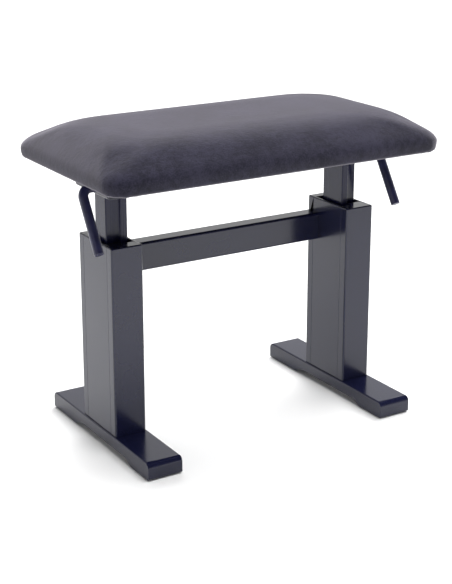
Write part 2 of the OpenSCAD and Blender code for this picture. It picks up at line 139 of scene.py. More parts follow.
@dataclass(frozen=True)
class Coat:
    """A material while its finish is laid on: its nodes, its shader and each point's place in metres."""

    tree: bpy.types.NodeTree
    shader: bpy.types.Node
    place: bpy.types.NodeSocket

    def grain(self, size_mm: tuple[float, float, float], detail: float) -> bpy.types.NodeSocket:
        """Makes a pattern of soft blotches with a real size along each axis.

        Args:
            size_mm: Size of a blotch along X, Y and Z, in millimetres.
            detail: How many finer octaves it holds.

        Returns:
            The pattern. Most of its values lie in USUAL_GRAIN.
        """
        scale = tuple(1 / (size * MM) for size in size_mm)
        scaled = add_node(self.tree, "ShaderNodeMapping", inputs={"Vector": self.place, "Scale": scale})
        inputs = {"Vector": scaled.outputs["Vector"], "Scale": 1.0, "Detail": detail}
        return add_node(self.tree, "ShaderNodeTexNoise", inputs=inputs).outputs["Fac"]

    def blend(
        self,
        pattern: bpy.types.NodeSocket,
        first: str | bpy.types.NodeSocket,
        second: str,
        span: tuple[float, float] = USUAL_GRAIN,
        most: float = 1.0,
    ) -> bpy.types.NodeSocket:
        """Colours the surface from one colour to another by a pattern.

        Args:
            pattern: The pattern that the colours follow.
            first: Hex colour, or the result of an earlier blend.
            second: Hex colour.
            span: Pattern values that give none and the most of the second colour.
            most: Largest share of the second colour.

        Returns:
            The blended colour, which the surface now has.
        """
        inputs = {"Value": pattern, "From Min": span[0], "From Max": span[1], "To Max": most}
        share = add_node(self.tree, "ShaderNodeMapRange", inputs=inputs).outputs["Result"]
        start = linear(first) if isinstance(first, str) else first
        inputs = {0: share, MIX_A: start, MIX_B: linear(second)}
        mixed = add_node(self.tree, "ShaderNodeMix", {"data_type": "RGBA"}, inputs).outputs[MIX_RESULT]
        self.tree.links.new(mixed, self.shader.inputs["Base Color"])
        return mixed

    def gloss(self, pattern: bpy.types.NodeSocket, roughness: float, shares: tuple[float, float]) -> None:
        """Varies the roughness by a pattern.

        Args:
            pattern: The pattern that it follows.
            roughness: The finish's own roughness.
            shares: Shares of it where the pattern is low and where it is high.
        """
        inputs = {"Value": pattern, "From Min": USUAL_GRAIN[0], "From Max": USUAL_GRAIN[1]}
        inputs |= {"To Min": shares[0] * roughness, "To Max": shares[1] * roughness}
        mapped = add_node(self.tree, "ShaderNodeMapRange", inputs=inputs)
        self.tree.links.new(mapped.outputs["Result"], self.shader.inputs["Roughness"])

    def emboss(self, height: bpy.types.NodeSocket, depth_mm: float, strength: float = 1.0) -> None:
        """Raises the surface by a pattern.

        Args:
            height: The pattern.
            depth_mm: Real depth between its values 0 and 1, in millimetres.
            strength: Share of the slopes that shows.
        """
        inputs = {"Height": height, "Distance": depth_mm * MM, "Strength": strength}
        bump = add_node(self.tree, "ShaderNodeBump", inputs=inputs)
        self.tree.links.new(bump.outputs["Normal"], self.shader.inputs["Normal"])


@dataclass(frozen=True)
class Finish:
    """A real finish, named for its material and how its surface was made."""

    label: str
    colour: str
    roughness: float
    ior: float = 1.5

    def material(self) -> bpy.types.Material:
        """Gives the finish's material, which is built the first time it is asked for.

        Returns:
            The material.
        """
        made = bpy.data.materials.get(self.label)
        if made is None:
            made = bpy.data.materials.new(self.label)
            made.use_nodes = True
            tree = made.node_tree
            tree.nodes.clear()
            inputs = {"Base Color": linear(self.colour), "Roughness": self.roughness, "IOR": self.ior}
            shader = add_node(tree, "ShaderNodeBsdfPrincipled", inputs=inputs)
            add_node(tree, "ShaderNodeOutputMaterial", inputs={"Surface": shader.outputs["BSDF"]})
            place = add_node(tree, "ShaderNodeTexCoord").outputs["Object"]
            self.dress(Coat(tree, shader, place))
        return made

    def dress(self, coat: Coat) -> None:
        """Adds the finish's own detail to its material."""
        raise NotImplementedError


@dataclass(frozen=True)
class PolyesterLacquer(Finish):
    """Polyester lacquer sprayed on hardwood and buffed: mirror gloss with a faint orange peel."""

    polished: str = "#14162E"
    gloss_shares: tuple[float, float] = (0.88, 1.14)
    buffed_mm: float = 45.0
    peel_mm: float = 7.0
    peel_depth_mm: float = 0.02
    peel_strength: float = 0.6

    def dress(self, coat: Coat) -> None:
        """Thick clear lacquer gives the blue-black depth, and uneven buffing a soft haze in places.

        Args:
            coat: The material that is dressed.
        """
        haze = coat.grain((self.buffed_mm,) * 3, 3.0)
        coat.gloss(haze, self.roughness, self.gloss_shares)
        coat.blend(haze, self.colour, self.polished)
        coat.emboss(coat.grain((self.peel_mm,) * 3, 1.0), self.peel_depth_mm, self.peel_strength)


@dataclass(frozen=True)
class CoatedExtrusion(Finish):
    """Gloss powder coat on extruded aluminium: the die's fine lines still show along its length."""

    gloss_shares: tuple[float, float] = (0.7, 1.5)
    line_mm: float = 1.6
    line_length_mm: float = 400.0
    line_depth_mm: float = 0.03
    line_strength: float = 0.5

    def dress(self, coat: Coat) -> None:
        """Lines along Z break the reflections into upright streaks.

        Args:
            coat: The material that is dressed.
        """
        lines = coat.grain((self.line_mm, self.line_mm, self.line_length_mm), 2.0)
        coat.gloss(lines, self.roughness, self.gloss_shares)
        coat.emboss(lines, self.line_depth_mm, self.line_strength)


@dataclass(frozen=True)
class MouldedSkin(Finish):
    """A dipped, moulded or powder-coated skin: even colour with a fine texture."""

    worn: str = "#202024"
    gloss_shares: tuple[float, float] = (1.1, 0.85)
    texture_mm: float = 0.8
    depth_mm: float = 0.05
    patch_mm: float = 18.0

    def dress(self, coat: Coat) -> None:
        """Handling leaves slightly paler, glossier patches on the fine texture.

        Args:
            coat: The material that is dressed.
        """
        patches = coat.grain((self.patch_mm,) * 3, 3.0)
        coat.blend(patches, self.colour, self.worn)
        coat.gloss(patches, self.roughness, self.gloss_shares)
        coat.emboss(coat.grain((self.texture_mm,) * 3, 2.0), self.depth_mm)


@dataclass(frozen=True)
class ZincPlate(Finish):
    """Bright zinc plated on turned or pressed steel: bluish metal with cloudy passivation."""

    cloudy: str = "#8C8F98"
    gloss_shares: tuple[float, float] = (0.8, 1.3)
    cloud_mm: float = 4.0
    mark_mm: tuple[float, float, float] = (2.0, 2.0, 0.5)
    mark_depth_mm: float = 0.02
    mark_strength: float = 0.5

    def dress(self, coat: Coat) -> None:
        """Cloudy patches dull the shine, and fine tool marks run round the parts.

        Args:
            coat: The material that is dressed.
        """
        coat.shader.inputs["Metallic"].default_value = 1.0
        clouds = coat.grain((self.cloud_mm,) * 3, 4.0)
        coat.blend(clouds, self.colour, self.cloudy)
        coat.gloss(clouds, self.roughness, self.gloss_shares)
        coat.emboss(coat.grain(self.mark_mm, 2.0), self.mark_depth_mm, self.mark_strength)


@dataclass(frozen=True)
class BirchPly(Finish):
    """Raw birch plywood: pale veneers with long grain, and darker glue lines between them."""

    late: str = "#B58A58"
    glue: str = "#7A5A3A"
    glue_share: float = 0.7
    ply_mm: float = 1.5
    glue_mm: float = 0.18
    grain_mm: tuple[float, float, float] = (60.0, 1.2, 1.2)
    grain_depth_mm: float = 0.06

    def dress(self, coat: Coat) -> None:
        """Grain runs along X, and a glue line comes once in every veneer's thickness along Z.

        Args:
            coat: The material that is dressed.
        """
        grain = coat.grain(self.grain_mm, 4.0)
        wood = coat.blend(grain, self.colour, self.late)
        height = add_node(coat.tree, "ShaderNodeSeparateXYZ", inputs={"Vector": coat.place}).outputs["Z"]
        inputs = {0: height, 1: self.ply_mm * MM / 2}
        ply = add_node(coat.tree, "ShaderNodeMath", {"operation": "PINGPONG"}, inputs)
        coat.blend(ply.outputs["Value"], wood, self.glue, (self.glue_mm * MM, 0.0), self.glue_share)
        coat.emboss(grain, self.grain_depth_mm)


@dataclass(frozen=True)
class SeatFoam(Finish):
    """Cut polyurethane foam: open cells about a millimetre wide."""

    # Darker colour of the painted shade in the cells' pits.
    cell: str = "#B59B5E"
    cell_mm: float = 1.4
    cell_depth_mm: float = 0.5

    def dress(self, coat: Coat) -> None:
        """Cells show as small pits, and painted shade darkens their hollows.

        Args:
            coat: The material that is dressed.
        """
        inputs = {"Vector": coat.place, "Scale": 1 / (self.cell_mm * MM)}
        cells = add_node(coat.tree, "ShaderNodeTexVoronoi", inputs=inputs).outputs["Distance"]
        # Painted shade: the colour darkens towards each cell's middle, where the pit is deepest.
        coat.blend(cells, self.cell, self.colour, (0.0, 1.0))
        coat.emboss(cells, self.cell_depth_mm)


@dataclass(frozen=True)
class CottonVelvet(Finish):
    """Short-pile cotton velvet: a dark dyed pile that lights up where it is seen along its fibres."""

    # Paler colour of the painted sheen, where the pile would catch more light.
    brushed: str = "#232230"
    sheen: str = "#BCB8C0"
    sheen_weight: float = 0.78
    sheen_roughness: float = 0.42
    specular: float = 0.2
    pile_mm: float = 2.1
    stroke_mm: tuple[float, float, float] = (9.0, 6.0, 11.0)
    patch_mm: float = 55.0
    tuft_share: float = 1.3
    brushed_span: tuple[float, float] = (1.35, 1.95)
    stroke_height: float = 0.7
    pile_depth_mm: float = 0.45
    pile_strength: float = 0.7

    def dress(self, coat: Coat) -> None:
        """Strokes and patches of the pile lie different ways, so they catch more or less light; that light is
        painted into the base colour as paler and darker patches of painted sheen.

        Single tufts are drawn 2.1 mm wide, coarser than the real 0.3 mm, so that they show.

        Args:
            coat: The material that is dressed.
        """
        coat.shader.inputs["Sheen Weight"].default_value = self.sheen_weight
        coat.shader.inputs["Sheen Roughness"].default_value = self.sheen_roughness
        coat.shader.inputs["Sheen Tint"].default_value = linear(self.sheen)
        coat.shader.inputs["Specular IOR Level"].default_value = self.specular
        tufts = coat.grain((self.pile_mm,) * 3, 3.0)
        strokes = coat.grain(self.stroke_mm, 3.0)
        patches = coat.grain((self.patch_mm,) * 3, 2.0)
        lay = add_node(coat.tree, "ShaderNodeMath", {"operation": "ADD"}, {0: strokes, 1: patches})
        weighted = {"operation": "MULTIPLY_ADD"}
        inputs = {0: tufts, 1: self.tuft_share, 2: lay.outputs["Value"]}
        brushed = add_node(coat.tree, "ShaderNodeMath", weighted, inputs)
        # Painted sheen: the pile pattern lightens the base colour where it would catch more light.
        coat.blend(brushed.outputs["Value"], self.colour, self.brushed, self.brushed_span)
        inputs = {0: strokes, 1: self.stroke_height, 2: tufts}
        pile = add_node(coat.tree, "ShaderNodeMath", weighted, inputs)
        coat.emboss(pile.outputs["Value"], self.pile_depth_mm, self.pile_strength)


@dataclass(frozen=True)
class SpunbondCambric(Finish):
    """Spunbonded dust cloth: matt black fibres pressed together in a diamond grid."""

    bonded: str = "#22222A"
    bond_mm: float = 2.4
    bond_turn: float = math.radians(45)
    bond_unevenness: float = 0.12
    spot_span: tuple[float, float] = (0.1, 0.35)
    fibre_mm: tuple[float, float, float] = (6.0, 0.8, 0.8)
    depth_mm: float = 0.12

    def dress(self, coat: Coat) -> None:
        """The bonded spots are drawn 2.4 mm apart, and are smoother and paler than the fibres.

        Args:
            coat: The material that is dressed.
        """
        turn, scale = (0.0, 0.0, self.bond_turn), (1 / (self.bond_mm * MM),) * 3
        inputs = {"Vector": coat.place, "Rotation": turn, "Scale": scale}
        turned = add_node(coat.tree, "ShaderNodeMapping", inputs=inputs)
        inputs = {"Vector": turned.outputs["Vector"], "Scale": 1.0, "Randomness": self.bond_unevenness}
        cells = add_node(coat.tree, "ShaderNodeTexVoronoi", {"voronoi_dimensions": "2D"}, inputs)
        near, far = self.spot_span
        inputs = {"Value": cells.outputs["Distance"], "From Min": near, "From Max": far}
        inputs |= {"To Min": 1.0, "To Max": 0.0}
        spots = add_node(coat.tree, "ShaderNodeMapRange", inputs=inputs).outputs["Result"]
        coat.blend(spots, self.colour, self.bonded, (0.0, 1.0))
        fibres = coat.grain(self.fibre_mm, 3.0)
        weave = add_node(coat.tree, "ShaderNodeMath", {"operation": "SUBTRACT"}, {0: fibres, 1: spots})
        coat.emboss(weave.outputs["Value"], self.depth_mm)


FINISHES: dict[str, Finish] = {
    "black_lacquer": PolyesterLacquer("polyester_lacquer_buffed", "#10122A", 0.2, 1.46),
    "slider_paint": CoatedExtrusion("powder_coated_extrusion", "#0C0D2A", 0.2, 1.36),
    "bracket_paint": MouldedSkin("satin_powder_coat", "#121222", 0.42, worn="#1A1A2C", texture_mm=0.6),
    "grip_vinyl": MouldedSkin("dipped_vinyl", "#14142E", 0.36, worn="#242444", texture_mm=1.0),
    "nylon": MouldedSkin("moulded_nylon", "#101014", 0.5, 1.53, worn="#1A1A1F", texture_mm=1.2),
    "glide_rubber": MouldedSkin("moulded_rubber", "#18181A", 0.75, 1.52, worn="#2A2A2C", texture_mm=0.9),
    "birch": BirchPly("birch_plywood_raw", "#D8B987", 0.6),
    "foam": SeatFoam("polyurethane_foam_cut", "#E2CC8E", 0.9),
    "velvet": CottonVelvet("cotton_velvet_dyed", "#0E0E1A", 0.85),
    "cambric": SpunbondCambric("spunbond_dust_cloth", "#101014", 0.85),
    "zinc_steel": ZincPlate("zinc_plated_steel", "#B4B8C0", 0.34),
}


# ---- Shared work on meshes ----


def cad_copy(node: str) -> bmesh.types.BMesh:
    """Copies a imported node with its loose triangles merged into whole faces.

    Args:
        node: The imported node's name.

    Returns:
        The copy, in the bench's frame.
    """
    shape = bmesh.new()
    shape.from_mesh(frame["nodes"][node].data)
    bmesh.ops.remove_doubles(shape, verts=shape.verts[:], dist=MERGED_MM * MM)
    bmesh.ops.dissolve_limit(shape, angle_limit=FLAT, verts=shape.verts[:], edges=shape.edges[:])
    return shape


def sharp_edges(
    shape: bmesh.types.BMesh, chosen: Callable[[Vector], bool] = lambda middle: True
) -> list[bmesh.types.BMEdge]:
    """Finds the edges that turn by more than 35 degrees.

    Args:
        shape: The shape to look through.
        chosen: Whether an edge with its middle there is wanted.

    Returns:
        The sharp edges that are wanted.
    """
    turned = (e for e in shape.edges if len(e.link_faces) == 2 and e.calc_face_angle(0.0) > SHARP)
    return [e for e in turned if chosen((e.verts[0].co + e.verts[1].co) / 2)]


def ease(
    shape: bmesh.types.BMesh, edges: list[bmesh.types.BMEdge], radius_mm: float, steps: int
) -> None:
    """Rounds edges to a radius.

    Args:
        shape: The shape that is changed.
        edges: Its edges to round.
        radius_mm: The radius in millimetres.
        steps: Number of faces across the round.
    """
    bmesh.ops.bevel(
        shape,
        geom=edges,
        offset=radius_mm * MM,
        offset_type="OFFSET",
        affect="EDGES",
        segments=steps,
        profile=0.5,
        material=-1,
        clamp_overlap=False,
    )


def publish(
    shape: bmesh.types.BMesh,
    name: str,
    body: Body,
    slot: str,
    replaced: Iterable[str] = (),
    crease: float = 50.0,
) -> bpy.types.Object:
    """Turns a finished shape into a piece of the bench.

    Args:
        shape: The shape in the bench's frame. It is freed.
        name: The piece's name.
        body: The body that it rides on.
        slot: The record's material slot, which gives its finish.
        replaced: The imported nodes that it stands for.
        crease: Angle in degrees above which an edge stays sharp.

    Returns:
        The new object.
    """
    mesh = bpy.data.meshes.new(name)
    shape.to_mesh(mesh)
    shape.free()
    mesh.polygons.foreach_set("use_smooth", [True] * len(mesh.polygons))
    mesh.set_sharp_from_angle(angle=math.radians(crease))
    piece = bpy.data.objects.new(name, mesh)
    bpy.context.scene.collection.objects.link(piece)
    mesh.materials.append(FINISHES[slot].material())
    flat = piece.modifiers.new("Flat faces", "WEIGHTED_NORMAL")
    flat.keep_sharp = True
    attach(piece, body.value)
    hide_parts(*replaced)
    log.info("%s: %d faces, finish %s", name, len(mesh.polygons), FINISHES[slot].label)
    return piece


def islands(node: str) -> list[tuple[Vector, Vector]]:
    """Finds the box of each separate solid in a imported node.

    Args:
        node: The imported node's name.

    Returns:
        The lowest and highest corner of each solid, in order along X.
    """
    shape = cad_copy(node)
    left = set(shape.verts)
    boxes = []
    while left:
        found = {left.pop()}
        edge_of_found = list(found)
        while edge_of_found:
            vert = edge_of_found.pop()
            near = {e.other_vert(vert) for e in vert.link_edges} & left
            left -= near
            found |= near
            edge_of_found.extend(near)
        corners = [[pick(v.co[i] for v in found) for i in range(3)] for pick in (min, max)]
        boxes.append((Vector(corners[0]), Vector(corners[1])))
    shape.free()
    return sorted(boxes, key=lambda box: tuple(box[0]))


# ---- Screws ----


@dataclass(frozen=True)
class SocketScrews:
    """A packed group of screws, turned again with a button head and a hexagon socket.

    Each solid's box gives a screw's place. The head is its lower end, and the shank points up. The
    shares are of the head's radius, height or, for the point, of the shank's radius.
    """

    node: str
    body: Body
    head_mm: float
    head_r_mm: float
    flat_share: float = 0.62
    dome_share: float = 0.72
    shank_share: float = 0.52
    point_share: float = 0.4
    tip_share: float = 0.7
    ledge_share: float = 0.12
    socket_share: float = 0.42
    socket_depth_share: float = 0.6
    dome_steps: int = 5
    steps: int = 24
    crease: float = 40.0

    def build(self) -> None:
        """Turns every screw of the group, and publishes them as one piece."""
        group = bmesh.new()
        for low, high in islands(self.node):
            screw = self.turned(high.z - low.z)
            self.cut_socket(screw)
            bmesh.ops.recalc_face_normals(screw, faces=screw.faces[:])
            middle = (low + high) / 2
            bmesh.ops.translate(screw, verts=screw.verts[:], vec=(middle.x, middle.y, low.z))
            mesh = bpy.data.meshes.new("screw")
            screw.to_mesh(mesh)
            screw.free()
            group.from_mesh(mesh)
            bpy.data.meshes.remove(mesh)
        name = f"{self.node}_socket_head"
        publish(group, name, self.body, "zinc_steel", [self.node], crease=self.crease)

    def turned(self, length: float) -> bmesh.types.BMesh:
        """Spins a screw's profile, from the rim of its flat to its point, round the Z axis.

        Args:
            length: Length of the screw with its head, in metres.

        Returns:
            The screw, open where its socket comes.
        """
        head_r, head_h = self.head_r_mm * MM, self.head_mm * MM
        shank_r = self.shank_share * head_r
        bulge = 1 - self.flat_share
        angles = [math.pi / 2 * i / self.dome_steps for i in range(self.dome_steps + 1)]
        profile = [
            (
                head_r * (self.flat_share + bulge * math.sin(angle)),
                head_h * self.dome_share * (1 - math.cos(angle)),
            )
            for angle in angles
        ]
        profile += [(head_r, head_h), (shank_r, head_h), (shank_r, length - self.point_share * shank_r)]
        profile += [(self.tip_share * shank_r, length), (0.0, length)]
        shape = bmesh.new()
        chain = [shape.verts.new((radius, 0.0, height)) for radius, height in profile]
        edges = [shape.edges.new(pair) for pair in zip(chain, chain[1:])]
        bmesh.ops.spin(
            shape,
            geom=chain + edges,
            cent=(0.0, 0.0, 0.0),
            axis=(0.0, 0.0, 1.0),
            angle=math.tau,
            steps=self.steps,
            use_merge=True,
        )
        bmesh.ops.remove_doubles(shape, verts=shape.verts[:], dist=0.001 * MM)
        return shape

    def cut_socket(self, screw: bmesh.types.BMesh) -> None:
        """Fills a head's flat, draws a hexagon in it and sinks the hexagon.

        Args:
            screw: The turned screw, which is changed.
        """
        head_r, head_h = self.head_r_mm * MM, self.head_mm * MM
        rim = [e for e in screw.edges if e.is_boundary]
        flat = bmesh.ops.edgeloop_fill(screw, edges=rim)["faces"]
        ledge = self.ledge_share * head_r
        bmesh.ops.inset_region(screw, faces=flat, thickness=ledge, use_even_offset=True)
        apothem = self.socket_share * head_r * math.cos(math.pi / 6)
        for vert in flat[0].verts:
            angle = math.atan2(vert.co.y, vert.co.x) % (math.pi / 3)
            vert.co.xy = vert.co.xy.normalized() * apothem / math.cos(angle - math.pi / 6)
        floor = bmesh.ops.extrude_discrete_faces(screw, faces=flat)["faces"][0]
        depth = self.socket_depth_share * head_h
        bmesh.ops.translate(screw, verts=floor.verts[:], vec=(0.0, 0.0, depth))


# ---- Base: feet, columns and stretcher ----


@dataclass
class Base:
    """The lacquered frame that stands on the floor."""

    eased_mm: float = 0.5
    eased_steps: int = 3
    rim_mm: float = 2.0
    rim_steps: int = 4
    joint_mm: float = 0.5
    joint_steps: int = 2
    board_mm: float = 4.0
    board_steps: int = 6
    glide_mm: float = 0.5
    screw_r_mm: float = 5.0
    screw_head_mm: float = 3.5

    def build(self) -> None:
        """Builds both legs and the stretcher between them."""
        for side in Side:
            self.foot(side)
            self.column(side)
            self.guide_bush(side)
        self.stretcher()
        self.glides()
        SocketScrews("column_screws", Body.BASE, self.screw_head_mm, self.screw_r_mm).build()

    def foot(self, side: Side) -> None:
        """Eases the sharp edges that are left on a foot's ends and arch.

        Args:
            side: The leg.
        """
        node = f"{side.word}_foot"
        shape = cad_copy(node)
        ease(shape, sharp_edges(shape), self.eased_mm, self.eased_steps)
        publish(shape, f"{node}_lacquered", Body.BASE, "black_lacquer", [node])

    def column(self, side: Side) -> None:
        """Rounds the top rim of a column's four boards, and leaves a fine line where they are glued.

        Args:
            side: The leg.
        """
        boards = ("front_post", "back_post", "outer_panel", "inner_panel")
        names = [f"{side.word}_{board}" for board in boards]
        corners = [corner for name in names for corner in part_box(name)]
        low = Vector(min(c[i] for c in corners) for i in range(3))
        high = Vector(max(c[i] for c in corners) for i in range(3))

        def on_rim(middle: Vector) -> bool:
            """Whether an edge runs along the outside of the column's top."""
            out = min(middle.x - low.x, high.x - middle.x, middle.y - low.y, high.y - middle.y)
            return middle.z > high.z - 0.1 * MM and out < 1.0 * MM

        for name in names:
            shape = cad_copy(name)
            ease(shape, sharp_edges(shape, on_rim), self.rim_mm, self.rim_steps)
            ease(shape, sharp_edges(shape), self.joint_mm, self.joint_steps)
            publish(shape, f"{name}_lacquered", Body.BASE, "black_lacquer", [name])

    def guide_bush(self, side: Side) -> None:
        """Smooths the nylon bush that the slider runs in."""
        node = f"{side.word}_guide_bush"
        publish(cad_copy(node), f"{node}_moulded", Body.BASE, "nylon", [node])

    def stretcher(self) -> None:
        """Rounds the stretcher's long edges."""
        shape = cad_copy("stretcher")
        low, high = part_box("stretcher")
        ends = 1.0 * MM
        inside = sharp_edges(shape, lambda middle: low.x + ends < middle.x < high.x - ends)
        long_edges = [e for e in inside if e.calc_length() > (high.x - low.x) / 2]
        ease(shape, long_edges, self.board_mm, self.board_steps)
        publish(shape, "stretcher_lacquered", Body.BASE, "black_lacquer", ["stretcher"])

    def glides(self) -> None:
        """Rounds the rim of each rubber glide."""
        shape = cad_copy("foot_glides")
        rims = sharp_edges(shape, lambda middle: middle.z < 0.1 * MM)
        ease(shape, rims, self.glide_mm, self.eased_steps)
        publish(shape, "foot_glides_moulded", Body.BASE, "glide_rubber", ["foot_glides"])


# ---- Sliders, brackets and levers ----


@dataclass
class Lift:
    """The sliders and the steel brackets that carry the seat."""

    bracket_edge_mm: float = 0.4
    bracket_steps: int = 2
    seat_screw_head_mm: float = 3.0
    seat_screw_r_mm: float = 5.5

    def build(self) -> None:
        """Builds both sliders and brackets with their screws."""
        for side in Side:
            slider = f"{side.word}_slider"
            publish(cad_copy(slider), f"{slider}_coated", Body.SEAT, "slider_paint", [slider])
            bracket = f"{side.word}_head_bracket"
            shape = cad_copy(bracket)
            ease(shape, sharp_edges(shape), self.bracket_edge_mm, self.bracket_steps)
            publish(shape, f"{bracket}_pressed", Body.SEAT, "bracket_paint", [bracket])
        SocketScrews("seat_screws", Body.SEAT, self.seat_screw_head_mm, self.seat_screw_r_mm).build()


@dataclass
class Lever:
    """A release lever: a steel axle bent down into an arm, dipped in vinyl."""

    side: Side
    grip_r: float = 7.0 * MM
    bend_r: float = 14.0 * MM
    length: float = 96.6 * MM
    rake: float = math.radians(32)
    tip_mm: float = 1.8
    tip_steps: int = 5
    mouth_mm: float = 0.8
    mouth_steps: int = 3
    round_steps: int = 32
    bend_steps: int = 14

    def build(self) -> None:
        """Fits the grip at its rake over the lever's joint, and dresses the rod inside it."""
        joint = next(j for j in frame["joints"] if j["name"] == f"{self.side.word}_lever_pull")
        pivot = Vector(joint["pos_m"])
        node = f"{self.side.word}_lever_grip"
        low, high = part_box(node)
        reach = max(abs(low.x), abs(high.x)) - abs(pivot.x) - self.grip_r
        start = min(abs(low.x), abs(high.x)) - abs(pivot.x)
        shape = self.grip(start, reach)
        turn = Matrix.Rotation(-self.rake, 4, "X")
        bmesh.ops.transform(shape, verts=shape.verts[:], matrix=turn)
        if self.side is Side.LEFT:
            bmesh.ops.scale(shape, verts=shape.verts[:], vec=(-1, 1, 1))
            bmesh.ops.reverse_faces(shape, faces=shape.faces[:])
        bmesh.ops.translate(shape, verts=shape.verts[:], vec=pivot)
        body = Body[f"{self.side.name}_LEVER"]
        publish(shape, f"{node}_dipped", body, "grip_vinyl", [node])
        rod = f"{self.side.word}_lever_rod"
        publish(cad_copy(rod), f"{rod}_bent", body, "zinc_steel", [rod])

    def grip(self, start: float, reach: float) -> bmesh.types.BMesh:
        """Sweeps the grip's circle along the axle, round the bend and down the arm.

        Args:
            start: Where the grip starts along the axle, in metres from the pivot.
            reach: Where the arm's middle hangs, in metres from the pivot.

        Returns:
            The grip with its arm straight down, for the right side.
        """
        shape = bmesh.new()
        circle = bmesh.ops.create_circle(shape, radius=self.grip_r, segments=self.round_steps)
        ring = circle["verts"]
        bmesh.ops.rotate(shape, verts=ring, cent=(0, 0, 0), matrix=Matrix.Rotation(math.pi / 2, 3, "Y"))
        bmesh.ops.translate(shape, verts=ring, vec=(start, 0, 0))
        loop = self.pulled(shape, list(shape.edges), Vector((reach - self.bend_r - start, 0, 0)))
        swept = bmesh.ops.spin(
            shape,
            geom=loop,
            cent=(reach - self.bend_r, 0, -self.bend_r),
            axis=(0, 1, 0),
            angle=math.pi / 2,
            steps=self.bend_steps,
        )
        loop = [g for g in swept["geom_last"] if isinstance(g, bmesh.types.BMEdge)]
        self.pulled(shape, loop, Vector((0, 0, -(self.length - self.bend_r))))
        bmesh.ops.holes_fill(shape, edges=[e for e in shape.edges if e.is_boundary])
        bmesh.ops.recalc_face_normals(shape, faces=shape.faces[:])
        tip, mouth = -self.length + 0.1 * MM, start + 0.1 * MM
        ease(shape, sharp_edges(shape, lambda middle: middle.z < tip), self.tip_mm, self.tip_steps)
        ease(shape, sharp_edges(shape, lambda middle: middle.x < mouth), self.mouth_mm, self.mouth_steps)
        return shape

    @staticmethod
    def pulled(
        shape: bmesh.types.BMesh, loop: list[bmesh.types.BMEdge], move: Vector
    ) -> list[bmesh.types.BMEdge]:
        """Extrudes a loop of edges along a move.

        Args:
            shape: The shape that is changed.
            loop: Its loop of edges.
            move: How far the new loop is from the old one.

        Returns:
            The new loop's edges.
        """
        made = bmesh.ops.extrude_edge_only(shape, edges=loop)["geom"]
        verts = [g for g in made if isinstance(g, bmesh.types.BMVert)]
        bmesh.ops.translate(shape, verts=verts, vec=move)
        moved = set(verts)
        return [e for e in shape.edges if e.verts[0] in moved and e.verts[1] in moved]


# ---- Seat ----


